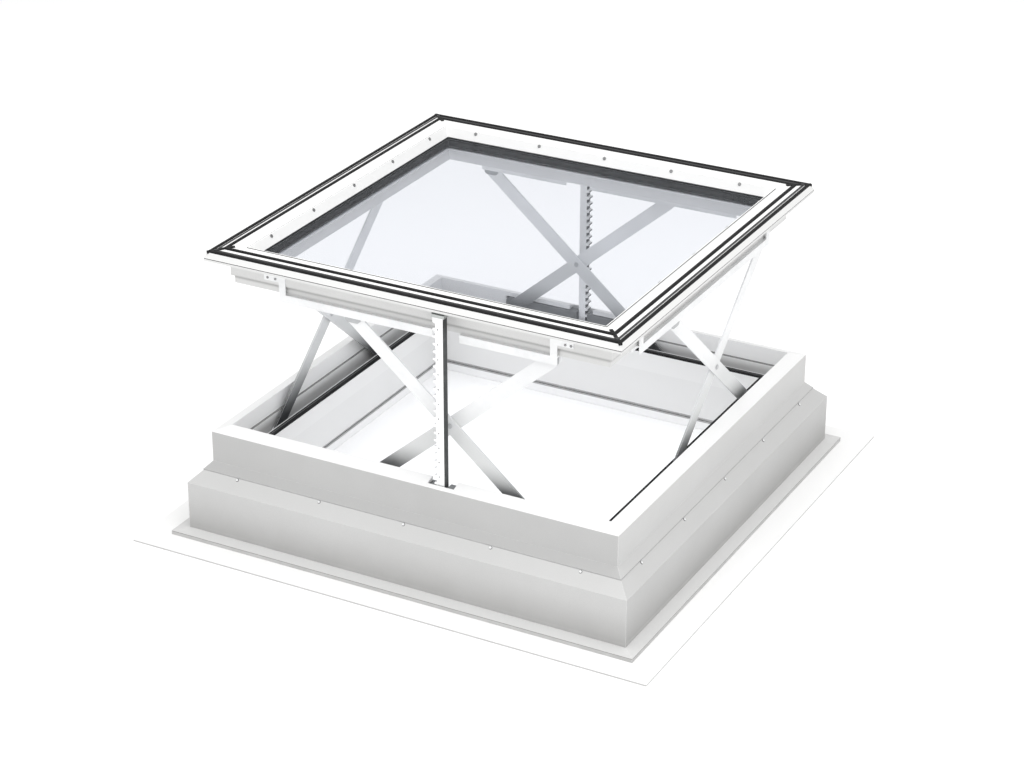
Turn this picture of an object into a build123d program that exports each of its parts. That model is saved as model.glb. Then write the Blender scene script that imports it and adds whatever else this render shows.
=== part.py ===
from build123d import *
import os
from math import asin, cos, degrees, radians, sin, sqrt

# A smoke vent roof window, standing open. A splayed kerb carries a fixed frame, and a
# glazed sash is lifted level above it by four pairs of scissor arms and two racks.
# Lengths in mm. Origin at the middle of the flange's underside, +X right, +Y to the back.
# A section is drawn by its distance out from the middle (reach) and its height.

sides = {"right": 0, "back": 90, "left": 180, "front": 270}
racked_sides = ("front", "back")

# kerb
flange_reach = 779.0
flange_thickness = 4.0
flange_step_inset = 76.0
flange_step_height = 16.0
wall_inset = 112.0
wall_foot_height = 19.0
shoulder_drop = 33.0
kerb_height = 190.0
shoulder_width = 33.0
kerb_depth = 84.0
reveal_foot_height = 37.5
lining_groove_height = 13.5
lining_groove_depth = 6.0

# fixed frame
frame_wall_inset = 19.5
joint_groove_height = 3.0
joint_groove_depth = 4.0
frame_wall_foot = 24.0
frame_wall_height = 88.0
frame_top_rise = 13.0
frame_top_width = 40.5
inner_wall_lean = 4.0
inner_ledge_rise = 77.0
inner_ledge_width = 4.0
channel_width = 33.0
channel_floor = 5.0
seal_seat_rise = 55.0
seal_seat_width = 20.0
seal_thickness = 5.0
seal_inset = 1.5

# lift and scissor arms
lift = 490.0
arm_length = 752.0
arm_width = 40.0
arm_thickness = 5.0
arm_gap = 1.0
arm_run_middle = 98.0
pin_diameter = 10.0
pin_clearance = 0.3
pin_head_diameter = 14.0
pin_head_thickness = 2.0

# rails that the arms run in
rail_width = 26.0
rail_height = 22.0
rail_wall = 3.0
rail_clearance = 0.5
rail_end_margin = 28.0
rail_slider_margin = 41.0
block_length = 44.0
block_clearance = 0.3
block_corner = 12.0
bracket_width = 20.0
bracket_wing = 45.0
bracket_wing_height = 16.0
bracket_rise = 49.0

# sash
skirt_leg_inset = 7.5
skirt_leg_width = 20.0
skirt_leg_height = 19.0
skirt_step = 4.0
lip_setback = 2.5
lip_edge_thickness = 8.0
lip_groove_height = 2.0
lip_groove_depth = 3.0
lip_bevel_width = 8.0
lip_bevel_height = 15.5
lip_closed_gap = 12.5
lip_underside_rise = 13.0
crown_inset = 50.0
crown_rise = 5.0
crown_width = 19.0
ridge_inset = 83.5
ridge_width = 2.5
ridge_height = 2.0
ridge_foot_drop = 6.5
bead_width = 16.0
sash_reveal_step = 12.0
sash_reveal_lean = 4.0
gasket_depth = 4.0
inner_gasket_inset = 42.0
inner_gasket_width = 10.5
strip_gasket_inset = 23.5
strip_gasket_width = 7.0
strip_gasket_stand = 0.5
outer_gasket_inset = 12.5
outer_gasket_width = 10.0
round_gasket_stand = 4.0
round_gasket_corner = 3.5

# glazing
glass_rebate_depth = 14.0
glass_edge_clearance = 2.0
glass_outer_thickness = 6.0
glass_inner_thickness = 8.0
glass_spacer_height = 22.0
glass_spacer_inset = 4.0
glass_spacer_width = 10.0
bead_height = 23.5

# racks and drives
rack_run = 88.5
rack_width = 30.0
rack_depth = 22.0
rack_setback = 2.0
rack_foot_rise = 25.0
tooth_pitch = 21.0
tooth_depth = 8.0
tooth_gap = 11.0
tooth_flank = 72.0
rack_hole_diameter = 4.0
rack_hole_depth = 3.0
head_width = 37.0
head_height = 24.0
head_margin = 1.0
head_lip_height = 9.0
head_lip_depth = 4.0
notch_run = 93.0
notch_width = 78.0
notch_inset = 13.5
well_clearance = 3.0
drive_start_run = -15.0
drive_end_run = 345.0
drive_setback = 5.0
drive_inner_clearance = 1.0
drive_rise = 48.0
drive_height = 62.0
drive_bridge_height = 24.0
drive_clearance = 2.0
drive_corner = 10.0

# heights and places that follow from the values above
flange_step_reach = flange_reach - flange_step_inset
wall_reach = flange_reach - wall_inset
ledge_reach = wall_reach - shoulder_width
reveal_foot_reach = wall_reach - kerb_depth
frame_wall_reach = ledge_reach - frame_wall_inset
frame_crown_reach = frame_wall_reach - frame_top_width
inner_wall_foot_reach = frame_crown_reach - inner_wall_lean
channel_outer_reach = inner_wall_foot_reach - inner_ledge_width
channel_inner_reach = channel_outer_reach - channel_width
seal_seat_reach = channel_inner_reach - seal_seat_width
shoulder_height = kerb_height - shoulder_drop
inner_ledge_height = kerb_height + inner_ledge_rise
seal_seat_height = kerb_height + seal_seat_rise
reveal_slope = (reveal_foot_reach - seal_seat_reach) / (seal_seat_height - reveal_foot_height)
kerb_inner_reach = seal_seat_reach + (seal_seat_height - kerb_height) * reveal_slope
frame_wall_bottom = kerb_height + frame_wall_foot
frame_wall_top = frame_wall_bottom + frame_wall_height
frame_crown_height = frame_wall_top + frame_top_rise
channel_height = kerb_height + channel_floor
seal_top = seal_seat_height + seal_thickness

rail_outer_reach = channel_outer_reach - rail_clearance
rail_inner_reach = rail_outer_reach - rail_width
arm_plane_reach = rail_outer_reach - rail_width / 2
low_pivot_height = channel_height + rail_wall + arm_gap + arm_width / 2
high_pivot_height = low_pivot_height + lift
arm_angle = degrees(asin(lift / arm_length))
arm_half_run = sqrt(arm_length**2 - lift**2) / 2
fixed_run = arm_run_middle + arm_half_run
slider_run = arm_run_middle - arm_half_run
crossing_height = (low_pivot_height + high_pivot_height) / 2
shut_slider_run = fixed_run - arm_length
low_rail_top = channel_height + rail_height
high_rail_top = high_pivot_height + arm_width / 2 + arm_gap + rail_wall
high_rail_bottom = high_rail_top - rail_height
rail_start_run = shut_slider_run - rail_slider_margin
rail_end_run = fixed_run + rail_end_margin

lip_reach = frame_wall_reach - lip_setback
crown_reach = lip_reach - crown_inset
crown_inner_reach = crown_reach - crown_width
ridge_reach = lip_reach - ridge_inset
bead_top_reach = ridge_reach - ridge_width
bead_tip_reach = bead_top_reach - bead_width
sash_reveal_reach = bead_tip_reach - sash_reveal_step
skirt_reach = rail_outer_reach - rail_wall
skirt_leg_reach = skirt_reach - skirt_leg_inset
leg_bottom = high_rail_top
leg_top = leg_bottom + skirt_leg_height
seat_height = seal_top + lift
lip_bottom = frame_wall_top + lip_closed_gap + lift
lip_inner_bottom = lip_bottom + lip_underside_rise
lip_edge_top = lip_bottom + lip_edge_thickness
cover_outer_reach = lip_reach - lip_bevel_width
cover_edge_height = lip_edge_top + lip_bevel_height
crown_height = cover_edge_height + crown_rise
ridge_foot_height = crown_height - ridge_foot_drop
bead_top_height = ridge_foot_height + ridge_height
glass_top = bead_top_height - bead_height
glass_reach = bead_tip_reach + glass_rebate_depth - glass_edge_clearance
spacer_top = glass_top - glass_outer_thickness
spacer_bottom = spacer_top - glass_spacer_height
glass_bottom = spacer_bottom - glass_inner_thickness
cover_fall = crown_rise / (cover_outer_reach - crown_reach)
underside_fall = lip_underside_rise / (lip_reach - skirt_reach)

rack_foot_height = kerb_height + rack_foot_rise
drive_bottom = kerb_height + drive_rise
drive_top = drive_bottom + drive_height
notch_reach = frame_wall_reach - notch_inset
rack_outer_reach = notch_reach - rack_setback
drive_reach = notch_reach - drive_setback
drive_inner_reach = channel_outer_reach + drive_inner_clearance


def cover_height(reach):
    return cover_edge_height + (cover_outer_reach - reach) * cover_fall


def underside_height(reach):
    return lip_bottom + (lip_reach - reach) * underside_fall


# Looking at one side from outside: run goes right, height goes up, and the plane faces out.
def face_plane(turn, reach):
    c, s = cos(radians(turn)), sin(radians(turn))
    return Plane(origin=(reach * c, reach * s, 0), x_dir=(-s, c, 0), z_dir=(c, s, 0))


# Across one side at a place along it: x is the reach and y the height, and it faces back
# along the run, so that a section is extruded from its far end towards its start.
def section_plane(turn, run):
    c, s = cos(radians(turn)), sin(radians(turn))
    return Plane(origin=(-run * s, run * c, 0), x_dir=(c, s, 0), z_dir=(s, -c, 0))


# The plane of a mitre through the middle, facing the side that it bounds.
def mitre_plane(turn, lean):
    a = radians(turn + lean)
    return Plane(origin=(0, 0, 0), x_dir=(0, 0, 1), z_dir=(cos(a), sin(a), 0))


# One of four mitred lengths of a section, given as reach and height pairs.
def mitred_length(outline, turn):
    longest = max(reach for reach, height in outline)
    with BuildPart() as length:
        with BuildSketch(section_plane(turn, 0)):
            with BuildLine():
                Polyline(*outline, close=True)
            make_face()
        extrude(amount=longest, both=True)
        split(bisect_by=mitre_plane(turn, 45), keep=Keep.TOP)
        split(bisect_by=mitre_plane(turn, -45), keep=Keep.TOP)
    return length.part


# A square ring of rectangular section between two reaches and two heights.
def square_ring(outer, inner, bottom, top):
    with BuildPart() as ring:
        with BuildSketch(Plane.XY.offset(bottom)):
            Rectangle(2 * outer, 2 * outer)
            Rectangle(2 * inner, 2 * inner, mode=Mode.SUBTRACT)
        extrude(amount=top - bottom)
    return ring.part


os.makedirs("parts", exist_ok=True)

kerb_outline = [
    (flange_reach, 0),
    (flange_reach, flange_thickness),
    (flange_step_reach, flange_thickness),
    (flange_step_reach, flange_step_height),
    (wall_reach, wall_foot_height),
    (wall_reach, shoulder_height),
    (ledge_reach, kerb_height),
    (kerb_inner_reach, kerb_height),
    (reveal_foot_reach, reveal_foot_height),
    (reveal_foot_reach + lining_groove_depth, reveal_foot_height),
    (reveal_foot_reach + lining_groove_depth, reveal_foot_height - lining_groove_height),
    (reveal_foot_reach, reveal_foot_height - lining_groove_height),
    (reveal_foot_reach, 0),
]
for side, turn in sides.items():
    with BuildPart() as kerb:
        add(mitred_length(kerb_outline, turn))
    kerb.part.label = f"kerb_{side}"
    export_step(kerb.part, f"parts/kerb_{side}.step")

frame_outline = [
    (ledge_reach - joint_groove_depth, kerb_height),
    (ledge_reach - joint_groove_depth, kerb_height + joint_groove_height),
    (ledge_reach, kerb_height + joint_groove_height),
    (frame_wall_reach, frame_wall_bottom),
    (frame_wall_reach, frame_wall_top),
    (frame_crown_reach, frame_crown_height),
    (inner_wall_foot_reach, inner_ledge_height),
    (channel_outer_reach, inner_ledge_height),
    (channel_outer_reach, channel_height),
    (channel_inner_reach, channel_height),
    (channel_inner_reach, seal_seat_height),
    (seal_seat_reach, seal_seat_height),
    (kerb_inner_reach, kerb_height),
]
well_width = rack_width + 2 * well_clearance
for side, turn in sides.items():
    with BuildPart() as frame:
        add(mitred_length(frame_outline, turn))
        if side in racked_sides:
            # notch in the top for the rack, the well below it and the drive's recess
            with BuildSketch(face_plane(turn, notch_reach)):
                with Locations((notch_run, drive_bottom)):
                    Rectangle(notch_width, lift, align=(Align.CENTER, Align.MIN))
            extrude(amount=-(notch_reach - channel_outer_reach), mode=Mode.SUBTRACT)
            with BuildSketch(face_plane(turn, notch_reach)):
                with Locations((rack_run, rack_foot_height - well_clearance)):
                    Rectangle(well_width, lift, align=(Align.CENTER, Align.MIN))
            extrude(amount=-(notch_reach - channel_outer_reach), mode=Mode.SUBTRACT)
            with BuildSketch(face_plane(turn, drive_reach + drive_clearance)):
                with Locations(((drive_start_run + drive_end_run) / 2, drive_bottom)):
                    Rectangle(
                        drive_end_run - drive_start_run + 2 * drive_clearance,
                        drive_top - drive_bottom + drive_clearance,
                        align=(Align.CENTER, Align.MIN),
                    )
            extrude(amount=-(drive_reach + drive_clearance - channel_outer_reach), mode=Mode.SUBTRACT)
    frame.part.label = f"frame_{side}"
    export_step(frame.part, f"parts/frame_{side}.step")

with BuildPart() as frame_seal:
    add(square_ring(channel_inner_reach - seal_inset, seal_seat_reach + seal_inset, seal_seat_height, seal_top))
    fillet(frame_seal.edges().group_by(Axis.Z)[-1], seal_thickness / 3)
frame_seal.part.label = "frame_seal"
export_step(frame_seal.part, "parts/frame_seal.step")

sash_outline = [
    (lip_reach, lip_bottom),
    (lip_reach, lip_edge_top - lip_groove_height),
    (lip_reach - lip_groove_depth, lip_edge_top - lip_groove_height),
    (lip_reach - lip_groove_depth, lip_edge_top),
    (lip_reach, lip_edge_top),
    (cover_outer_reach, cover_edge_height),
    (crown_reach, crown_height),
    (crown_inner_reach, crown_height),
    (ridge_reach, ridge_foot_height),
    (ridge_reach, bead_top_height),
    (bead_top_reach, bead_top_height),
    (bead_tip_reach, glass_top),
    (bead_tip_reach + glass_rebate_depth, glass_top),
    (bead_tip_reach + glass_rebate_depth, glass_bottom),
    (sash_reveal_reach + sash_reveal_lean, glass_bottom),
    (sash_reveal_reach, seat_height),
    (skirt_leg_reach - skirt_leg_width, seat_height),
    (skirt_leg_reach - skirt_leg_width, leg_bottom),
    (skirt_leg_reach, leg_bottom),
    (skirt_leg_reach, leg_top),
    (skirt_reach, leg_top + skirt_step),
    (skirt_reach, lip_inner_bottom),
]
# The crown's gaskets: two round ones with a flat strip between, as reach, width and stand.
gaskets = (
    (lip_reach - inner_gasket_inset, inner_gasket_width, round_gasket_stand),
    (lip_reach - strip_gasket_inset, strip_gasket_width, strip_gasket_stand),
    (lip_reach - outer_gasket_inset, outer_gasket_width, round_gasket_stand),
)
for side, turn in sides.items():
    with BuildPart() as sash:
        add(mitred_length(sash_outline, turn))
        # grooves that hold the gaskets
        for reach, width, stand in gaskets:
            with BuildSketch(Plane.XY.offset(cover_height(reach) - gasket_depth)):
                Rectangle(2 * reach + width, 2 * reach + width)
                Rectangle(2 * reach - width, 2 * reach - width, mode=Mode.SUBTRACT)
            extrude(amount=crown_height - cover_height(reach) + 2 * gasket_depth, mode=Mode.SUBTRACT)
    sash.part.label = f"sash_{side}"
    export_step(sash.part, f"parts/sash_{side}.step")


# A gasket ring, rounded on top where it stands high enough.
def gasket_ring(reach, width, stand):
    bottom = cover_height(reach) - gasket_depth
    with BuildPart() as ring:
        add(square_ring(reach + width / 2, reach - width / 2, bottom, bottom + gasket_depth + stand))
        if stand > round_gasket_corner:
            fillet(ring.edges().group_by(Axis.Z)[-1], round_gasket_corner)
    return ring.part


with BuildPart() as sash_gaskets:
    for reach, width, stand in gaskets:
        add(gasket_ring(reach, width, stand))
sash_gaskets.part.label = "sash_gaskets"
export_step(sash_gaskets.part, "parts/sash_gaskets.step")

with BuildPart() as glass_outer:
    with BuildSketch(Plane.XY.offset(spacer_top)):
        Rectangle(2 * glass_reach, 2 * glass_reach)
    extrude(amount=glass_outer_thickness)
glass_outer.part.label = "glass_outer"
export_step(glass_outer.part, "parts/glass_outer.step")

with BuildPart() as glass_inner:
    with BuildSketch(Plane.XY.offset(glass_bottom)):
        Rectangle(2 * glass_reach, 2 * glass_reach)
    extrude(amount=glass_inner_thickness)
glass_inner.part.label = "glass_inner"
export_step(glass_inner.part, "parts/glass_inner.step")

spacer_reach = glass_reach - glass_spacer_inset
with BuildPart() as glass_spacer:
    add(square_ring(spacer_reach, spacer_reach - glass_spacer_width, spacer_bottom, spacer_top))
glass_spacer.part.label = "glass_spacer"
export_step(glass_spacer.part, "parts/glass_spacer.step")

# The two arms of a side lie flat against each other with a small gap. The outer one runs
# from the fixed pivot below to the slider above, the inner one the other way.
outer_arm_face = arm_plane_reach + arm_gap / 2 + arm_thickness
inner_arm_face = arm_plane_reach - arm_gap / 2
arm_faces = {"outer": (outer_arm_face, -arm_angle), "inner": (inner_arm_face, arm_angle)}
hole_diameter = pin_diameter + 2 * pin_clearance
for side, turn in sides.items():
    for which, (reach, angle) in arm_faces.items():
        with BuildPart() as arm:
            with BuildSketch(face_plane(turn, reach)):
                with Locations(Location((arm_run_middle, crossing_height, 0), (0, 0, angle))):
                    SlotCenterToCenter(arm_length, arm_width)
                    with GridLocations(arm_length / 2, 0, 3, 1):
                        Circle(hole_diameter / 2, mode=Mode.SUBTRACT)
            extrude(amount=-arm_thickness)
        arm.part.label = f"arm_{side}_{which}"
        export_step(arm.part, f"parts/arm_{side}_{which}.step")

# Pivot and slide blocks ride inside the rails, each on the free side of its own arm, and
# carry a stub pin that fills the arm's hole.
block_thickness = (rail_width - 2 * rail_wall - 2 * arm_thickness - arm_gap) / 2 - 2 * block_clearance
block_height = arm_width / 2 + arm_gap - block_clearance + block_corner
outer_block_face = outer_arm_face + block_clearance + block_thickness
inner_block_face = inner_arm_face - arm_thickness - block_clearance


# One block with its stub pin: run and height of the pivot, the way that the pin points.
def pivot_block(turn, run, pivot_height, below, outside):
    face = outer_block_face if outside else inner_block_face
    pin_face = outer_arm_face - arm_thickness if outside else inner_arm_face - arm_thickness - block_clearance
    lean = -1 if below else 1
    web_side = pivot_height + lean * (arm_width / 2 + arm_gap - block_clearance)
    middle = web_side - lean * block_height / 2
    with BuildPart() as block:
        with BuildSketch(face_plane(turn, face)):
            with Locations((run, middle)):
                Rectangle(block_length, block_height)
            far = vertices().sort_by(Axis.Y)
            fillet(far[2:] if below else far[:2], block_corner * 0.9)
        extrude(amount=-block_thickness)
        with BuildSketch(face_plane(turn, pin_face)):
            with Locations((run, pivot_height)):
                Circle(pin_diameter / 2)
        extrude(amount=arm_thickness + (block_clearance if outside else block_clearance))
    return block.part


for side, turn in sides.items():
    with BuildPart() as sliders:
        add(pivot_block(turn, slider_run, high_pivot_height, False, True))
        add(pivot_block(turn, slider_run, low_pivot_height, True, False))
    sliders.part.label = f"sliders_{side}"
    export_step(sliders.part, f"parts/sliders_{side}.step")

    with BuildPart() as pivots:
        add(pivot_block(turn, fixed_run, low_pivot_height, True, True))
        add(pivot_block(turn, fixed_run, high_pivot_height, False, False))
        with BuildSketch(face_plane(turn, inner_arm_face - arm_thickness - pin_clearance)):
            with Locations((arm_run_middle, crossing_height)):
                Circle(pin_diameter / 2)
        extrude(amount=2 * arm_thickness + arm_gap + 2 * pin_clearance)
        with BuildSketch(
            face_plane(turn, outer_arm_face + pin_clearance),
            face_plane(turn, inner_arm_face - arm_thickness - pin_clearance - pin_head_thickness),
        ):
            with Locations((arm_run_middle, crossing_height)):
                Circle(pin_head_diameter / 2)
        extrude(amount=pin_head_thickness)
    pivots.part.label = f"pivots_{side}"
    export_step(pivots.part, f"parts/pivots_{side}.step")


# A channel of the rail's section, open upwards or downwards, between two places.
def rail_length(turn, start, end, bottom, opens_up):
    web_shift = rail_wall if opens_up else -rail_wall
    with BuildPart() as rail:
        with BuildSketch(section_plane(turn, end)):
            with Locations((arm_plane_reach, bottom + rail_height / 2)):
                Rectangle(rail_width, rail_height)
            with Locations((arm_plane_reach, bottom + rail_height / 2 + web_shift)):
                Rectangle(rail_width - 2 * rail_wall, rail_height, mode=Mode.SUBTRACT)
        extrude(amount=end - start)
    return rail.part


bracket_top = high_rail_top + bracket_rise
for side, turn in sides.items():
    with BuildPart() as rail_lower:
        add(rail_length(turn, rail_start_run, rail_end_run, channel_height, True))
    rail_lower.part.label = f"rail_lower_{side}"
    export_step(rail_lower.part, f"parts/rail_lower_{side}.step")

    with BuildPart() as rail_upper:
        if side in racked_sides:
            # the rail stops short of the rack on both sides
            gap_start, gap_end = notch_run - notch_width / 2, notch_run + notch_width / 2
            add(rail_length(turn, rail_start_run, gap_start, high_rail_bottom, False))
            add(rail_length(turn, gap_end, rail_end_run, high_rail_bottom, False))
        else:
            add(rail_length(turn, rail_start_run, rail_end_run, high_rail_bottom, False))
        # brackets at both ends, bent up against the skirt, each with a wing to the corner
        for end, way in ((rail_start_run, -1), (rail_end_run, 1)):
            with BuildSketch(face_plane(turn, rail_outer_reach)):
                with Locations((end - way * bracket_width / 2, (high_rail_bottom + bracket_top) / 2)):
                    Rectangle(bracket_width, bracket_top - high_rail_bottom)
                with Locations((end + way * bracket_wing / 2, bracket_top - bracket_wing_height / 2)):
                    Rectangle(bracket_wing, bracket_wing_height)
            extrude(amount=-rail_wall)
    rail_upper.part.label = f"rail_upper_{side}"
    export_step(rail_upper.part, f"parts/rail_upper_{side}.step")

head_reach = notch_reach - head_margin
rack_top = lip_bottom + underside_fall * (lip_reach - rack_outer_reach) - head_height
tooth_count = int((rack_top - rack_foot_height - tooth_gap) / tooth_pitch)
for side in racked_sides:
    turn = sides[side]
    with BuildPart() as rack:
        # toothed bar
        with BuildSketch(face_plane(turn, rack_outer_reach)):
            with Locations((rack_run, (rack_foot_height + rack_top) / 2)):
                Rectangle(rack_width, rack_top - rack_foot_height)
            with Locations((rack_run - rack_width / 2, (rack_foot_height + rack_top) / 2)):
                with GridLocations(0, tooth_pitch, 1, tooth_count):
                    Trapezoid(2 * tooth_gap, 2 * tooth_depth, tooth_flank, rotation=-90, mode=Mode.SUBTRACT)
        extrude(amount=-rack_depth)
        # holes down the face, two teeth apart
        with BuildSketch(face_plane(turn, rack_outer_reach)):
            with Locations((rack_run, (rack_foot_height + rack_top) / 2)):
                with GridLocations(0, 2 * tooth_pitch, 1, tooth_count // 2):
                    Circle(rack_hole_diameter / 2)
        extrude(amount=-rack_hole_depth, mode=Mode.SUBTRACT)
        # head that hangs the bar under the sash's lip
        with BuildSketch(section_plane(turn, rack_run + head_width / 2)):
            with BuildLine():
                Polyline(
                    (skirt_reach, rack_top),
                    (head_reach, rack_top),
                    (head_reach, rack_top + head_lip_height),
                    (head_reach - head_lip_depth, rack_top + head_lip_height),
                    (head_reach - head_lip_depth, underside_height(head_reach - head_lip_depth)),
                    (skirt_reach, lip_inner_bottom),
                    close=True,
                )
            make_face()
        extrude(amount=head_width)
    rack.part.label = f"rack_{side}"
    export_step(rack.part, f"parts/rack_{side}.step")

for side in racked_sides:
    turn = sides[side]
    with BuildPart() as drive:
        with BuildSketch(face_plane(turn, drive_reach)):
            with Locations(((drive_start_run + drive_end_run) / 2, (drive_bottom + drive_top) / 2)):
                RectangleRounded(drive_end_run - drive_start_run, drive_top - drive_bottom, drive_corner)
        extrude(amount=-(drive_reach - drive_inner_reach))
        # slot that the rack runs in, with a low bridge left on the inside
        with BuildSketch(face_plane(turn, drive_reach)):
            with Locations((rack_run, drive_bottom)):
                Rectangle(well_width, drive_top - drive_bottom, align=(Align.CENTER, Align.MIN))
        extrude(amount=-(drive_reach - rack_outer_reach + rack_depth + head_margin), mode=Mode.SUBTRACT)
        with BuildSketch(face_plane(turn, drive_reach)):
            with Locations((rack_run, drive_bottom + drive_bridge_height)):
                Rectangle(well_width, drive_top - drive_bottom, align=(Align.CENTER, Align.MIN))
        extrude(amount=-(drive_reach - drive_inner_reach), mode=Mode.SUBTRACT)
    drive.part.label = f"drive_{side}"
    export_step(drive.part, f"parts/drive_{side}.step")

print("arms", round(arm_angle, 1), "deg, run", round(slider_run), "to", round(fixed_run))
print("shut slider", round(shut_slider_run), "crown", round(crown_height, 1))
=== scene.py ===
import bpy
import bmesh
from math import cos, pi, radians, sin, sqrt
from mathutils import Matrix, Vector


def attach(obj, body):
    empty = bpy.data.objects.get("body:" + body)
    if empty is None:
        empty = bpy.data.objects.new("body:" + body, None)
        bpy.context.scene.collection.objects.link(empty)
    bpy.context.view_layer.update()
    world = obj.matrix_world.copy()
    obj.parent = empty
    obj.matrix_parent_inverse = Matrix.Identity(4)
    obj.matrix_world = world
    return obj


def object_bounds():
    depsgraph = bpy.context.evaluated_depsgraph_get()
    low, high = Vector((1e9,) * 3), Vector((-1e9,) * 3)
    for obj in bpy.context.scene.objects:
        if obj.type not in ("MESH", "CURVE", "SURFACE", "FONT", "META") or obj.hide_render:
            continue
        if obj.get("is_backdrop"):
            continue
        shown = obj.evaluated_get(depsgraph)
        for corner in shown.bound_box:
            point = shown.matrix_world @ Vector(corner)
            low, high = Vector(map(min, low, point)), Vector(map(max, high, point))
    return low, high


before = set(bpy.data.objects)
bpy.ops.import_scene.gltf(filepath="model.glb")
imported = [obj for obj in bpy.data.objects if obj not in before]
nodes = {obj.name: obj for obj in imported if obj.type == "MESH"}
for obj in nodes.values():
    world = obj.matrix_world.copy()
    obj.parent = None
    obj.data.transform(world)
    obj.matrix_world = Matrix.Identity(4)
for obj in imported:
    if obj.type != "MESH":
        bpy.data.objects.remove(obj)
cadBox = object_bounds()
print("frame loaded:", len(nodes), "nodes")

turns = {"right": 0, "back": 90, "left": 180, "front": 270}


class Wave:  # a node's output, so that a pattern is written as a sum
    def __init__(self, finish, socket):
        self.finish = finish
        self.socket = socket

    def maths(self, operation, first, second):
        node = self.finish.node("ShaderNodeMath", {"operation": operation}, {0: first, 1: second})
        return Wave(self.finish, node.outputs[0])

    def __add__(self, other):
        return self.maths("ADD", self, other)

    __radd__ = __add__

    def __sub__(self, other):
        return self.maths("SUBTRACT", self, other)

    def __rsub__(self, other):
        return self.maths("SUBTRACT", other, self)

    def __mul__(self, other):
        return self.maths("MULTIPLY", self, other)

    def __pow__(self, other):
        return self.maths("POWER", self, other)

    def __abs__(self):
        return self.maths("ABSOLUTE", self, 0.0)

    def between(self, low, high):  # 0 below low, 1 above high
        node = self.finish.node(
            "ShaderNodeMapRange", {"interpolation_type": "SMOOTHSTEP"},
            {"Value": self, "From Min": low, "From Max": high})
        return Wave(self.finish, node.outputs[0])

    def above(self, level, blur=0.001):  # 1 past a level, 0 short of it
        return self.between(level, level + blur)

    def below(self, level, blur=0.001):
        return 1.0 - self.above(level, blur)

    def near(self, level, half, blur):  # 1 close to a level, 0 on both sides of it
        return abs(self - level).below(half, blur)


class Finish:  # one material with its nodes
    def __init__(self, name, settings):
        self.material = bpy.data.materials.new(name)
        self.material.use_nodes = True
        self.tree = self.material.node_tree
        self.shader = self.tree.nodes["Principled BSDF"]
        for socket, value in settings["shader"].items():
            self.shader.inputs[socket].default_value = value
        self.place = Wave(self, self.node("ShaderNodeTexCoord").outputs["Object"])
        axes = self.node("ShaderNodeSeparateXYZ", {}, {0: self.place})
        self.x, self.y, self.z = (Wave(self, out) for out in axes.outputs)

    def node(self, kind, settings=None, values=None):
        made = self.tree.nodes.new(kind)
        for key, value in (settings or {}).items():
            setattr(made, key, value)
        for key, value in (values or {}).items():
            self.join(value, made.inputs[key])
        return made

    def join(self, value, socket):  # a wave, a plain output or a fixed value
        if isinstance(value, Wave):
            self.tree.links.new(value.socket, socket)
        elif hasattr(value, "is_output"):
            self.tree.links.new(value, socket)
        else:
            socket.default_value = value

    def stretched(self, scale):  # object coordinates, scaled along each axis
        node = self.node("ShaderNodeMapping", {}, {"Vector": self.place, "Scale": scale})
        return Wave(self, node.outputs[0])

    def noise(self, scale, detail, rough, vector=None):
        node = self.node(
            "ShaderNodeTexNoise", {},
            {"Vector": vector or self.place, "Scale": scale, "Detail": detail, "Roughness": rough})
        return Wave(self, node.outputs[0])

    def blend(self, factor, first, second):  # two colours mixed by a pattern
        node = self.node("ShaderNodeMix", {"data_type": "RGBA"}, {0: factor})
        self.join(first if isinstance(first, Wave) else (*first, 1), node.inputs[6])
        self.join(second if isinstance(second, Wave) else (*second, 1), node.inputs[7])
        return Wave(self, node.outputs[2])

    def edges(self, width):  # 1 on sharp edges, 0 on flat faces
        bevel = self.node("ShaderNodeBevel", {"samples": 4}, {"Radius": width})
        face = self.node("ShaderNodeNewGeometry")
        dot = self.node("ShaderNodeVectorMath", {"operation": "DOT_PRODUCT"},
                        {0: bevel.outputs[0], 1: face.outputs["Normal"]})
        return (1.0 - Wave(self, dot.outputs["Value"])).between(0.004, 0.12)

    def normal(self, axis):  # one part of the face's normal, 0 for x, 1 for y, 2 for z
        face = self.node("ShaderNodeNewGeometry")
        axes = self.node("ShaderNodeSeparateXYZ", {}, {0: face.outputs["Normal"]})
        return Wave(self, axes.outputs[axis])

    def facing(self):  # 1 on level tops, 0 on walls, -1 on undersides
        return self.normal(2)

    def reach(self):  # how far out from the middle a point lies, on whichever side it is
        return self.x.maths("MAXIMUM", abs(self.x), abs(self.y))

    def colour(self, value):
        self.join(value, self.shader.inputs["Base Color"])

    def roughness(self, value):
        self.join(value, self.shader.inputs["Roughness"])

    def bump(self, height, strength, distance):
        node = self.node("ShaderNodeBump", {}, {"Height": height, "Strength": strength, "Distance": distance})
        self.join(Wave(self, node.outputs[0]), self.shader.inputs["Normal"])


def scaled(colour, share):
    return tuple(share * c for c in colour)


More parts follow.
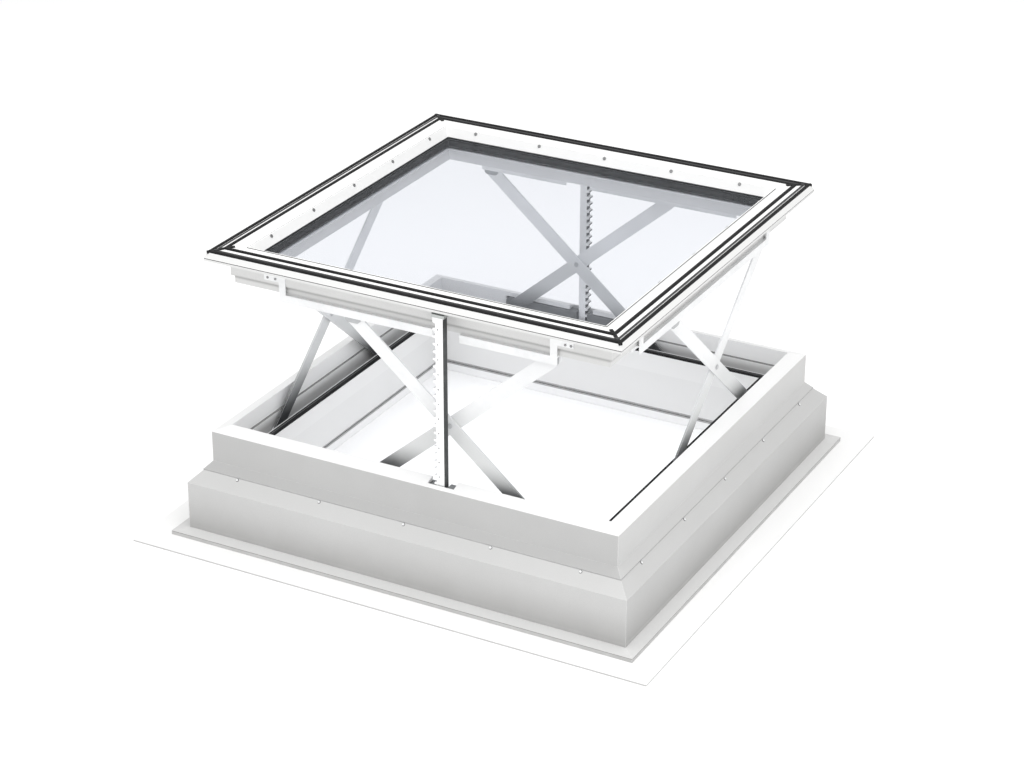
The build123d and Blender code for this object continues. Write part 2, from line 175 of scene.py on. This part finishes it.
# heights, reaches and widths are in metres, here and below
plastic = {
    "shader": {"Roughness": 0.34, "Specular IOR Level": 0.42, "Coat Weight": 0.0},
    "clean": (0.65, 0.65, 0.645),
    "shade": (0.61, 0.61, 0.605),
    # painted light: the whiter tone painted on level tops
    "level": (0.93, 0.93, 0.925),
    "worn": (0.90, 0.90, 0.90),
    # painted shade: the grey used for the low walls, the undersides and the channel
    "shadeGrey": (0.43, 0.427, 0.42),
    # painted light: the whiter tone of the faces in the opening
    "inside": (0.93, 0.93, 0.925),
    "insideReach": 0.606,
    "innerReach": 0.5365,
    # painted light: pure white for the inner faces next to the floor
    "foot": (1.0, 1.0, 1.0),
    "footTop": 0.0238,
    # painted shade: the grey of the band round the wall's foot
    "step": (0.66, 0.66, 0.655),
    "stepFoot": 0.006,
    "stepTop": 0.030,
    "riserReach": 0.7015,
    "riserTop": 0.0155,
    # painted shadow: the dark line along the top of the flange's riser
    "riserShadow": (0.22, 0.22, 0.215),
    "riserShadowFoot": 0.0130,
    "cove": (0.42, 0.42, 0.415),
    "coveShare": 0.9,
    "coveHeight": 0.752,
    "coveHalf": 0.009,
    "coveReach": 0.545,
    "channelFoot": 0.19,
    "channelFloor": 0.195,
    "channelTop": 0.240,
    "channelFade": 0.03,
    "channelReach": 0.540,
    # painted shadow: the dark line along the ledge above the channel
    "ledgeShadow": (0.20, 0.20, 0.195),
    "ledgeHeight": 0.267,
    "ledgeHalf": 0.0012,
    # painted shade: how far up and how strongly the low outer walls and the undersides are painted grey
    "lowShadeFoot": 0.02,
    "lowShadeShare": 0.85,
    "underShadeShare": 0.45,
    "drawLines": {"scale": 90.0, "detail": 2.0, "rough": 0.6},
    "drawStretch": 0.015,
    "mottle": {"scale": 5.5, "detail": 4.0, "rough": 0.55},
    "specks": {"scale": 420.0, "detail": 1.0, "rough": 0.5},
    "lowShade": {"scale": 14.0, "detail": 5.0, "rough": 0.65},
    "edgeWidth": 0.0012,
    "edgeWear": 0.5,
    "grainStrength": 0.25,
    "grainHeight": 0.00006,
}


def wallTone(f, tone, slope, mottle, specks):
    p = plastic
    colour = f.blend(mottle.between(0.3, 0.7) * 0.6 + specks.between(0.42, 0.75) * 0.9,
                     scaled(p["clean"], tone), scaled(p["shade"], tone))
    # painted light: the level tops are painted whiter than the walls
    colour = f.blend(f.facing().between(0.80, 0.97), colour, p["level"])
    # painted light and shade: slanted faces get a copy of the plastic scaled by slope, lighter above 1 and
    # darker below 1
    tilted = f.facing().between(0.2, 0.4) * (1.0 - f.facing().between(0.6, 0.8))
    return f.blend(tilted, colour, scaled(p["clean"], slope * tone))


def flangeTone(f, colour, upright):
    p = plastic
    # painted shade: the band round the foot of the wall, from stepFoot to stepTop, is painted greyer
    colour = f.blend(f.z.above(p["stepFoot"]) * f.z.below(p["stepTop"]), colour, p["step"])
    # painted shadow and light on the flange's riser: a dark line along its top, painted white below it
    riser = f.z.below(p["riserTop"], 0.0004) * f.reach().above(p["riserReach"]) * upright
    return f.blend(riser, colour, f.blend(f.z.above(p["riserShadowFoot"], 0.0006), p["level"], p["riserShadow"]))


def insideTone(f, colour, upright, sheltered, mottle, inside):  # the faces that look into the opening, with painted light and shade on them
    p = plastic
    reach = f.reach()
    # painted light: the faces in the opening are painted whiter than the outside walls
    colour = f.blend(sheltered * upright * inside, colour, p["inside"])
    colour = f.blend(reach.below(p["innerReach"], 0.0005) * inside, colour, p["inside"])
    # painted shadow: a dark line along the narrow ledge above the channel
    ledgeShadow = f.z.near(p["ledgeHeight"], p["ledgeHalf"], 0.0006) * sheltered * inside
    colour = f.blend(ledgeShadow, colour, p["ledgeShadow"])
    # painted light: the inner faces next to the floor are painted pure white
    foot = f.z.below(p["footTop"], 0.0005) * sheltered * inside
    colour = f.blend(foot, colour, p["foot"])
    # painted shade: the channel that the low rails lie in is painted darker grey
    channel = f.z.below(p["channelTop"], p["channelFade"]) * f.z.between(p["channelFoot"], p["channelFloor"])
    channel = channel * reach.above(p["channelReach"], 0.002) * sheltered
    return f.blend(channel * (0.5 + mottle * 0.5), colour, p["shadeGrey"])


def coveTone(f, colour):  # a soft shadow line lies in the cove of the sash's skirt
    p = plastic
    cove = f.z.near(p["coveHeight"], 0.0, p["coveHalf"]) * f.reach().above(p["coveReach"])
    return f.blend(cove * p["coveShare"], colour, p["cove"])


def plasticFinish(name, along, tone=1.0, lowShadeTop=0.15, slope=1.0, inside=1.0):
    p = plastic
    f = Finish(name, p)
    # fine draw lines run along each length of the profile
    stretch = (p["drawStretch"], 1, 1) if along == "x" else (1, p["drawStretch"], 1)
    lines = f.noise(**p["drawLines"], vector=f.stretched(stretch))
    mottle = f.noise(**p["mottle"])
    specks = f.noise(**p["specks"])
    upright = 1.0 - abs(f.facing()).between(0.25, 0.6)
    sheltered = f.reach().below(p["insideReach"])
    # painted shade: the outer upright walls are painted darker towards the roof
    lowShade = (1.0 - f.z.between(p["lowShadeFoot"], lowShadeTop)) * upright * (1.0 - sheltered)
    lowShade = lowShade * (0.55 + f.noise(**p["lowShade"]) * 0.6)
    # painted shade: undersides are painted grey
    underShade = (0.0 - f.facing()).between(0.2, 0.9)
    colour = wallTone(f, tone, slope, mottle, specks)
    colour = flangeTone(f, colour, upright)
    colour = insideTone(f, colour, upright, sheltered, mottle, inside)
    colour = coveTone(f, colour)
    # painted shade: the low outer walls and the undersides are painted grey
    colour = f.blend(lowShade * p["lowShadeShare"] + underShade * p["underShadeShare"], colour, p["shadeGrey"])
    f.colour(f.blend(f.edges(p["edgeWidth"]) * p["edgeWear"], colour, p["worn"]))
    f.roughness(0.30 + mottle * 0.10 + lines * 0.06 + lowShade * 0.2)
    f.bump(lines * 0.7 + specks * 0.3, p["grainStrength"], p["grainHeight"])
    return f.material


rubber = {
    "shader": {"Roughness": 0.5, "Specular IOR Level": 0.24},
    "dark": (0.006, 0.006, 0.0065),
    "bloom": (0.024, 0.0245, 0.0255),
    "strip": (0.055, 0.055, 0.057),
    "stripReach": 0.5885,
    "stripHalf": 0.0038,
    "cloud": {"scale": 28.0, "detail": 5.0, "rough": 0.6},
    "pores": {"scale": 900.0, "detail": 2.0, "rough": 0.5},
    "poreStrength": 0.3,
    "poreHeight": 0.00008,
    "edgeWidth": 0.0008,
    "edgeBloom": 0.3,
}
frameRubber = {**rubber, "strip": (0.16, 0.16, 0.16), "stripReach": 0.5245, "stripHalf": 0.0006}
greyRubber = {
    **rubber,
    "shader": {"Roughness": 0.5, "Specular IOR Level": 0.3},
    "dark": (0.44, 0.44, 0.44),
    "bloom": (0.56, 0.56, 0.555),
    "strip": None,
}


def rubberFinish(name, gloss=0.42, p=rubber):
    f = Finish(name, p)
    cloud = f.noise(**p["cloud"])
    pores = f.noise(**p["pores"])
    bloom = cloud.between(0.45, 0.8)
    colour = f.blend(bloom * 0.6 + f.edges(p["edgeWidth"]) * p["edgeBloom"], p["dark"], p["bloom"])
    if p["strip"]:  # dust lies on a strip of the seal, such as the flat one between the two round gaskets
        colour = f.blend(f.reach().near(p["stripReach"], p["stripHalf"], 0.0005), colour, p["strip"])
    f.colour(colour)
    f.roughness(gloss + cloud * 0.16 + pores * 0.06)
    f.bump(pores, p["poreStrength"], p["poreHeight"])
    return f.material


pane = {
    "shader": {"Roughness": 0.02, "Metallic": 1.0, "Base Color": (0.90, 0.94, 1.0, 1)},
    "tint": (0.950, 0.954, 0.964, 1),
    "least": 0.004,
    "sheen": 0.28,
    "filmShare": 0.010,
    "film": {"scale": 2.2, "detail": 4.0, "rough": 0.6},
    "marks": {"scale": 60.0, "detail": 3.0, "rough": 0.6},
}


def paneFinish(name):  # see-through where it is looked into, glossy where it is grazed
    p = pane
    f = Finish(name, p)
    grazed = Wave(f, f.node("ShaderNodeLayerWeight", {}, {"Blend": 0.5}).outputs["Facing"])
    film = f.noise(**p["film"], vector=f.stretched((1, 0.45, 1)))
    marks = f.noise(**p["marks"]).between(0.62, 0.8)
    f.roughness(0.015 + film * 0.03 + marks * 0.03)
    through = f.node("ShaderNodeBsdfTransparent", {}, {"Color": p["tint"]})
    mixed = f.node("ShaderNodeMixShader", {}, {
        0: p["least"] + grazed ** 5.0 * p["sheen"] + film * p["filmShare"],
        1: through.outputs[0], 2: f.shader.outputs[0]})
    f.join(mixed.outputs[0], f.tree.nodes["Material Output"].inputs["Surface"])
    return f.material


steel = {  # rolling marks and worn edges, the same on all the steel
    "grain": {"scale": 160.0, "detail": 3.0, "rough": 0.6},
    "grainStrength": 0.22,
    "grainHeight": 0.00007,
    "edgeWidth": 0.0009,
}

armBar = {
    # painted shade on the arms: a duller lower part and a dark low end
    "dull": (0.70, 0.71, 0.71),
    "dullFoot": 0.40,
    "dullTop": 0.56,
    "footShade": (0.05, 0.053, 0.055),
    "footShadeFoot": 0.265,
    "footShadeTop": 0.390,
}


def footShadeTone(f, colour, cloud):  # painted shade on the arms: a duller lower part and a dark low end
    a = armBar
    colour = f.blend(1.0 - f.z.between(a["dullFoot"], a["dullTop"]), colour, a["dull"])
    low = (1.0 - f.z.between(a["footShadeFoot"], a["footShadeTop"])) * (0.75 + cloud * 0.5)
    return f.blend(low, colour, a["footShade"])


metal = {
    **steel,
    "shader": {"Specular IOR Level": 0.5},
    "bright": (0.95, 0.955, 0.96),
    "dull": (0.84, 0.85, 0.86),
    "scratch": (0.98, 0.98, 0.98),
    "smudge": (0.62, 0.63, 0.64),
    "smudgeShare": 0.25,
    "edgeWear": 0.7,
    "cloud": {"scale": 11.0, "detail": 4.0, "rough": 0.55},
    "crystalScale": 95.0,
}


def metalFinish(name, rough, tone=1.0, along=(1, 1, 1), spangle=0.0, shadeFoot=False, polish=0.35):
    p = metal
    f = Finish(name, p)
    f.shader.inputs["Metallic"].default_value = polish
    marks = f.noise(**p["grain"], vector=f.stretched(along))
    cloud = f.noise(**p["cloud"])
    crystals = f.node(
        "ShaderNodeTexVoronoi", {"feature": "F1"}, {"Vector": f.place, "Scale": p["crystalScale"]})
    flakes = f.node("ShaderNodeSeparateColor", {}, {0: crystals.outputs["Color"]})
    zinc = Wave(f, flakes.outputs[0])
    colour = f.blend(cloud.between(0.3, 0.7) * 0.5 + zinc * spangle,
                     scaled(p["bright"], tone), scaled(p["dull"], tone))
    colour = f.blend(marks.between(0.66, 0.82) * p["smudgeShare"], colour, p["smudge"])
    if shadeFoot:
        colour = footShadeTone(f, colour, cloud)
    f.colour(f.blend(f.edges(p["edgeWidth"]) * p["edgeWear"], colour, p["scratch"]))
    f.roughness(rough + cloud * 0.12 + zinc * spangle * 0.25 + marks * 0.08)
    f.bump(marks, p["grainStrength"], p["grainHeight"])
    return f.material


rackBar = {
    **steel,
    "shader": {"Metallic": 0.9, "Specular IOR Level": 0.5},
    "face": (0.93, 0.935, 0.94),
    "xFacingSide": (0.10, 0.105, 0.105),
    "head": (0.20, 0.215, 0.21),
    "headLip": (0.50, 0.52, 0.51),
    "headFoot": 0.7839,
    "headLipTop": 0.7929,
    "grime": (0.35, 0.35, 0.35),
    "grimeShare": 0.25,
    "edgeWear": 0.5,
    "cloud": {"scale": 23.0, "detail": 4.0, "rough": 0.6},
}


def rackFinish(name):  # bright rolled face, dark sides that face along x, and a dark head
    p = rackBar
    f = Finish(name, p)
    xFacing = abs(f.normal(0)).between(0.55, 0.8)
    marks = f.noise(**p["grain"], vector=f.stretched((1, 1, 0.2)))
    cloud = f.noise(**p["cloud"])
    head = f.z.above(p["headLipTop"], 0.0006)
    lip = f.z.above(p["headFoot"], 0.0003)
    colour = f.blend(xFacing, p["face"], p["xFacingSide"])
    colour = f.blend(head, f.blend(lip, colour, p["headLip"]), p["head"])
    colour = f.blend(cloud.between(0.5, 0.8) * p["grimeShare"], colour, p["grime"])
    f.colour(f.blend(f.edges(p["edgeWidth"]) * p["edgeWear"], colour, p["face"]))
    f.roughness(0.26 + xFacing * 0.2 + cloud * 0.12 + marks * 0.08)
    f.bump(marks, p["grainStrength"], p["grainHeight"])
    return f.material


paint = {
    "shader": {"Roughness": 0.4, "Specular IOR Level": 0.5},
    "worn": (0.50, 0.51, 0.52),
    "edgeWidth": 0.0010,
    "edgeWear": 0.55,
    "cloud": {"scale": 16.0, "detail": 4.0, "rough": 0.6},
    "peel": {"scale": 260.0, "detail": 2.0, "rough": 0.5},
    "peelStrength": 0.25,
    "peelHeight": 0.0001,
}


def paintFinish(name, light, dark, rough):
    p = paint
    f = Finish(name, p)
    cloud = f.noise(**p["cloud"])
    peel = f.noise(**p["peel"])
    colour = f.blend(cloud.between(0.35, 0.7), light, dark)
    f.colour(f.blend(f.edges(p["edgeWidth"]) * p["edgeWear"], colour, p["worn"]))
    f.roughness(rough + cloud * 0.12 + peel * 0.05)
    f.bump(peel, p["peelStrength"], p["peelHeight"])
    return f.material


rolled = (0.2, 0.2, 1)  # the rails' marks run level along them
finishes = {
    # painted light and shade: tone and slope give each side and piece of the same plastic a lighter or darker
    # copy, standing in for how the lamps light it
    "kerbX": plasticFinish("kerb_plastic_x", "x", tone=0.93),
    "kerbY": plasticFinish("kerb_plastic_y", "y", tone=0.81, slope=1.18),
    "frameX": plasticFinish("frame_plastic_x", "x", tone=0.82, lowShadeTop=0.021, slope=0.84),
    "frameY": plasticFinish("frame_plastic_y", "y", tone=0.95, lowShadeTop=0.021, slope=0.88),
    "coverX": plasticFinish("cover_plastic_x", "x", tone=1.22, lowShadeTop=0.021, inside=0.0),
    "coverY": plasticFinish("cover_plastic_y", "y", tone=1.22, lowShadeTop=0.021, inside=0.0),
    "gasket": rubberFinish("gasket_rubber"),
    "seal": rubberFinish("seal_rubber", 0.5, frameRubber),
    "pane": paneFinish("pane_glass"),
    "spacer": paintFinish("spacer_bar", (0.006, 0.006, 0.006), (0.014, 0.014, 0.014), 0.7),
    "arm": metalFinish("arm_steel", 0.34, spangle=0.12, shadeFoot=True, polish=0.12),
    "rail": metalFinish("rail_steel", 0.30, along=rolled, spangle=0.25),
    # painted shade: the low rails are toned dark for the shade of the channel they lie in
    "lowRail": metalFinish("low_rail_steel", 0.42, tone=0.36, along=rolled, spangle=0.25),
    "rack": rackFinish("rack_steel"),
    "block": paintFinish("slide_block", (0.55, 0.56, 0.57), (0.45, 0.46, 0.47), 0.42),
    "drive": paintFinish("drive_housing", (0.23, 0.235, 0.238), (0.17, 0.175, 0.178), 0.42),
    "screw": metalFinish("screw_steel", 0.30),
    "beadScrew": metalFinish("bead_screw_steel", 0.35, tone=0.28, polish=1.0),
    "jointSeal": rubberFinish("joint_seal_grey", 0.5, greyRubber),
}
print("finishes made:", len(finishes))


def finishFor(name):
    family, side = name.split("_")[0], name.split("_")[-1]
    along = "X" if side in ("front", "back") else "Y"
    whole = {"frame_seal": "seal", "sash_gaskets": "gasket", "glass_outer": "pane", "glass_inner": "pane",
             "glass_spacer": "spacer"}
    families = {"kerb": "kerb" + along, "frame": "frame" + along, "sash": "cover" + along, "arm": "arm",
                "sliders": "block", "pivots": "block", "rail": "rail", "rack": "rack", "drive": "drive"}
    if name.startswith("rail_lower"):
        return finishes["lowRail"]
    return finishes[whole.get(name, families.get(family))]


for name, node in nodes.items():
    node.data.materials.clear()
    node.data.materials.append(finishFor(name))


# a place on one side: reach out from the middle, run along the side, height
def sidePlace(turn, reach, run, height):
    a = radians(turn)
    return Vector((reach * cos(a) - run * sin(a), reach * sin(a) + run * cos(a), height))


def sideWay(turn, out, up):  # a direction that leans out and up from one side
    a = radians(turn)
    return Vector((out * cos(a), out * sin(a), up)).normalized()


def standing(place, way):  # moves a shape's own upright axis to a place and turns it that way
    return Matrix.Translation(place) @ way.to_track_quat("Z", "Y").to_matrix().to_4x4()


def vertsOf(parts):
    return [g for g in parts if isinstance(g, bmesh.types.BMVert)]


def newPiece(name, mesh, finish):
    data = bpy.data.meshes.new(name)
    mesh.to_mesh(data)
    mesh.free()
    piece = bpy.data.objects.new(name, data)
    bpy.context.scene.collection.objects.link(piece)
    data.materials.append(finish)
    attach(piece, "root")


screw = {
    "radius": 0.0062,
    "height": 0.0032,
    "socket": 0.0026,
    "socketDepth": 0.0016,
    "lobePinch": 0.78,
    "sink": 0.0006,
    "rim": 0.0011,
    "rimSteps": 3,
    "segments": 24,
}


def addScrew(mesh, place, way, scale=1.0):  # a low round head with a six-lobed socket
    s = screw
    before = set(mesh.verts)
    radius = s["radius"] * scale
    made = bmesh.ops.create_cone(
        mesh, cap_ends=True, segments=s["segments"], radius1=radius, radius2=radius,
        depth=s["height"] * scale)["verts"]
    top = [f for f in mesh.faces if f.normal.z > 0.9 and set(f.verts) <= set(made)]
    bmesh.ops.bevel(
        mesh, geom=list(top[0].edges), offset=s["rim"] * scale, segments=s["rimSteps"], profile=0.5,
        affect="EDGES", material=-1)
    fresh = [v for v in mesh.verts if v not in before]
    faces = [f for f in mesh.faces if set(f.verts) <= set(fresh)]
    cap = max(faces, key=lambda f: (round(f.calc_center_median().z, 6), f.calc_area()))
    bmesh.ops.inset_region(mesh, faces=[cap], thickness=(s["radius"] - s["rim"] - s["socket"]) * scale)
    # every other pair of corners is drawn in, which leaves six lobes
    centre = cap.calc_center_median()
    drawnIn = [v for i, v in enumerate(cap.verts) if (i // 2) % 2 == 0]
    for v in drawnIn:
        v.co = centre + (v.co - centre) * s["lobePinch"]
    floor = bmesh.ops.extrude_discrete_faces(mesh, faces=[cap])["faces"]
    sunk = list({v for f in floor for v in f.verts})
    bmesh.ops.translate(mesh, verts=sunk, vec=(0, 0, -s["socketDepth"] * scale))
    fresh = [v for v in mesh.verts if v not in before]
    seat = place + way * (s["height"] / 2 - s["sink"]) * scale
    bmesh.ops.transform(mesh, matrix=standing(seat, way), verts=fresh)


kerbScrews = {
    "reach": 0.6378,
    "height": 0.1866,
    "runs": (-0.522, -0.261, 0, 0.261, 0.522),
    "scale": 0.55,
    "washerRadius": 0.0047,
    "washerTaper": 0.8,
    "washerHeight": 0.0014,
}


def makeKerbScrews():  # along the shoulder, each head on a black rubber washer, whose ring round the head also serves as a painted shadow
    k = kerbScrews
    mesh = bmesh.new()
    washers = bmesh.new()
    for turn in turns.values():
        way = sideWay(turn, 1, 1)
        for run in k["runs"]:
            place = sidePlace(turn, k["reach"], run, k["height"])
            addScrew(mesh, place + way * k["washerHeight"] / 2, way, k["scale"])
            disc = bmesh.ops.create_cone(
                washers, cap_ends=True, segments=screw["segments"], radius1=k["washerRadius"],
                radius2=k["washerRadius"] * k["washerTaper"], depth=k["washerHeight"])["verts"]
            bmesh.ops.transform(washers, matrix=standing(place, way), verts=disc)
    newPiece("kerb_screws", mesh, finishes["screw"])
    newPiece("kerb_washers", washers, finishes["gasket"])


makeKerbScrews()

beadScrews = {
    "reach": 0.5227,
    "places": [(run, 0.8237) for run in (-0.423, -0.2115, 0, 0.2115, 0.423)],
    "way": (-23.5, 16),
    "scale": 0.8,
}
bracketScrews = {
    "reach": 0.5655,
    "places": [(-0.444, 0.774), (-0.420, 0.774), (0.434, 0.772), (0.450, 0.772)],
    "way": (1, 0),
    "scale": 0.55,
}


def makeScrewRow(name, s):  # the same row on each of the four sides, its places as run and height
    mesh = bmesh.new()
    for turn in turns.values():
        for run, height in s["places"]:
            addScrew(mesh, sidePlace(turn, s["reach"], run, height), sideWay(turn, *s["way"]), s["scale"])
    newPiece(name, mesh, finishes["beadScrew"])


makeScrewRow("bead_screws", beadScrews)
makeScrewRow("bracket_screws", bracketScrews)

cornerKey = {
    "inner": 0.552,
    "outer": 0.6055,
    "width": 0.009,
    "crownReach": 0.562,
    "crownHeight": 0.833,
    "edgeReach": 0.604,
    "edgeHeight": 0.828,
    "proud": 0.0029,
    "deep": 0.003,
}


def coverHeight(reach):  # the cover is level inside its crown and falls towards its edge
    k = cornerKey
    if reach > k["crownReach"]:
        share = (reach - k["crownReach"]) / (k["edgeReach"] - k["crownReach"])
        return k["crownHeight"] + share * (k["edgeHeight"] - k["crownHeight"])
    return k["crownHeight"]


def addCornerKey(mesh, turn):  # a bar over one mitre, bent where the crown starts to fall
    k = cornerKey
    a = radians(turn + 45)
    out = Vector((cos(a), sin(a), 0)) * sqrt(2)
    across = Vector((-sin(a), cos(a), 0))
    made = bmesh.ops.create_cube(mesh, size=1.0)["verts"]
    edges = [e for e in mesh.edges if e.verts[0] in made]
    faces = [f for f in mesh.faces if f.verts[0] in made]
    bend = bmesh.ops.bisect_plane(mesh, geom=made + edges + faces, plane_co=(0, 0, 0), plane_no=(1, 0, 0))
    for v in set(made) | set(vertsOf(bend["geom_cut"])):
        reach = k["inner"] if v.co.x < -0.1 else k["outer"] if v.co.x > 0.1 else k["crownReach"]
        top = coverHeight(reach) + (k["proud"] if v.co.z > 0 else -k["deep"])
        v.co = out * reach + across * (v.co.y * k["width"]) + Vector((0, 0, top))


def makeCornerKeys():  # black keys across the crown's mitres, from gasket to gasket
    mesh = bmesh.new()
    for turn in turns.values():
        addCornerKey(mesh, turn)
    bmesh.ops.recalc_face_normals(mesh, faces=mesh.faces)
    newPiece("corner_keys", mesh, finishes["gasket"])


makeCornerKeys()

# thin square seals and trims in the joints of the sash, the frame and the lining
thinSeals = {
    "lip_seal": {
        "reach": 0.6104, "width": 0.0022, "height": 0.8105, "thickness": 0.0020, "finish": "gasket"},
    "seat_trim": {
        "reach": 0.5323, "width": 0.0014, "height": 0.2448, "thickness": 0.0058, "finish": "coverX"},
    "ridge_seal": {
        "reach": 0.5293, "width": 0.0014, "height": 0.8264, "thickness": 0.0017, "finish": "gasket"},
    "frame_joint_seal": {
        "reach": 0.6328, "width": 0.0036, "height": 0.1894, "thickness": 0.0038, "finish": "jointSeal"},
    "lining_seal_low": {
        "reach": 0.5862, "width": 0.0050, "height": 0.0242, "thickness": 0.0045, "finish": "jointSeal"},
    "lining_seal_high": {
        "reach": 0.5862, "width": 0.0050, "height": 0.0325, "thickness": 0.0045, "finish": "jointSeal"},
}


def makeThinSeal(name, t):
    inner = t["reach"] - t["width"] / 2
    outer = t["reach"] + t["width"] / 2
    mesh = bmesh.new()
    bmesh.ops.create_circle(mesh, cap_ends=False, segments=4, radius=inner * sqrt(2))
    bmesh.ops.rotate(mesh, verts=mesh.verts, cent=(0, 0, 0), matrix=Matrix.Rotation(pi / 4, 3, "Z"))
    grown = bmesh.ops.extrude_edge_only(mesh, edges=mesh.edges[:])["geom"]
    bmesh.ops.scale(mesh, verts=vertsOf(grown), vec=(outer / inner, outer / inner, 1))
    raised = bmesh.ops.extrude_face_region(mesh, geom=mesh.faces[:])["geom"]
    bmesh.ops.translate(mesh, verts=vertsOf(raised), vec=(0, 0, t["thickness"]))
    bmesh.ops.translate(mesh, verts=mesh.verts, vec=(0, 0, t["height"]))
    bmesh.ops.recalc_face_normals(mesh, faces=mesh.faces)
    newPiece(name, mesh, finishes[t["finish"]])


for name, t in thinSeals.items():
    makeThinSeal(name, t)
print("small pieces made")

stage = {
    "floorColour": (0.90, 0.90, 0.90, 1),
    "floorRoughness": 0.9,
    "floorSpecular": 0.1,
    "floorGlow": 0.18,
    "floorSize": 30.0,
    "floorDrop": 0.001,
    "world": (1.0, 1.0, 1.0, 1),
    "worldStrength": 0.66,
    "keyPower": 405.0,
    "keySize": 7.5,
    "keyPlace": (1.2, -1.6, 6.6),
    "fillPower": 4.0,
    "fillSize": 4.0,
    "fillPlace": (-4.0, -4.5, 3.0),
    "target": (0.0, 0.0, 0.35),
    "exposure": 0.0,
}


def makeFloor():
    mesh = bmesh.new()
    bmesh.ops.create_grid(mesh, x_segments=1, y_segments=1, size=stage["floorSize"])
    bmesh.ops.translate(mesh, verts=mesh.verts, vec=(0, 0, -stage["floorDrop"]))
    data = bpy.data.meshes.new("floor")
    mesh.to_mesh(data)
    mesh.free()
    floor = bpy.data.objects.new("floor", data)
    bpy.context.scene.collection.objects.link(floor)
    finish = bpy.data.materials.new("floor_pale")
    finish.use_nodes = True
    shader = finish.node_tree.nodes["Principled BSDF"]
    shader.inputs["Base Color"].default_value = stage["floorColour"]
    shader.inputs["Roughness"].default_value = stage["floorRoughness"]
    shader.inputs["Specular IOR Level"].default_value = stage["floorSpecular"]
    shader.inputs["Emission Color"].default_value = (1, 1, 1, 1)
    shader.inputs["Emission Strength"].default_value = stage["floorGlow"]
    data.materials.append(finish)
    floor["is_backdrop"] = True


def makeWorld():
    world = bpy.data.worlds.new("studio")
    world.use_nodes = True
    background = world.node_tree.nodes["Background"]
    background.inputs["Color"].default_value = stage["world"]
    background.inputs["Strength"].default_value = stage["worldStrength"]
    bpy.context.scene.world = world


def softLamp(name, place, power, size):
    data = bpy.data.lights.new(name, "AREA")
    data.energy = power
    data.shape = "SQUARE"
    data.size = size
    lamp = bpy.data.objects.new(name, data)
    lamp.location = place
    way = Vector(stage["target"]) - Vector(place)
    lamp.rotation_euler = way.to_track_quat("-Z", "Y").to_euler()
    bpy.context.scene.collection.objects.link(lamp)
    lamp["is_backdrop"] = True


# tilt, turn and roll in degrees, lens and sensor in millimetres
cameraAt = {
    "place": (3.0771, -5.7609, 3.4693),
    "tilt": 64.30,
    "turn": 28.26,
    "roll": 0.09,
    "lens": 91.09,
    "sensor": 36.0,
    "clipEnd": 100.0,
}


def makeCamera():
    c = cameraAt
    data = bpy.data.cameras.new("camera")
    data.lens = c["lens"]
    data.sensor_width = c["sensor"]
    data.clip_end = c["clipEnd"]
    camera = bpy.data.objects.new("camera", data)
    aim = Matrix.Rotation(radians(c["turn"]), 4, "Z") @ Matrix.Rotation(radians(c["tilt"]), 4, "X")
    camera.matrix_world = Matrix.Translation(c["place"]) @ aim @ Matrix.Rotation(radians(c["roll"]), 4, "Z")
    bpy.context.scene.collection.objects.link(camera)
    bpy.context.scene.camera = camera


makeFloor()
makeWorld()
softLamp("key_lamp", stage["keyPlace"], stage["keyPower"], stage["keySize"])
softLamp("fill_lamp", stage["fillPlace"], stage["fillPower"], stage["fillSize"])
makeCamera()
bpy.context.scene.view_settings.view_transform = "Standard"
bpy.context.scene.view_settings.exposure = stage["exposure"]
print("stage ready")

boxes = {"cad": cadBox, "visual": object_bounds()}
("{" + ", ".join(
    '"%s": [[%s], [%s]]' % (key, *(", ".join("%.6f" % c for c in corner) for corner in box))
    for key, box in boxes.items()) + "}\n")
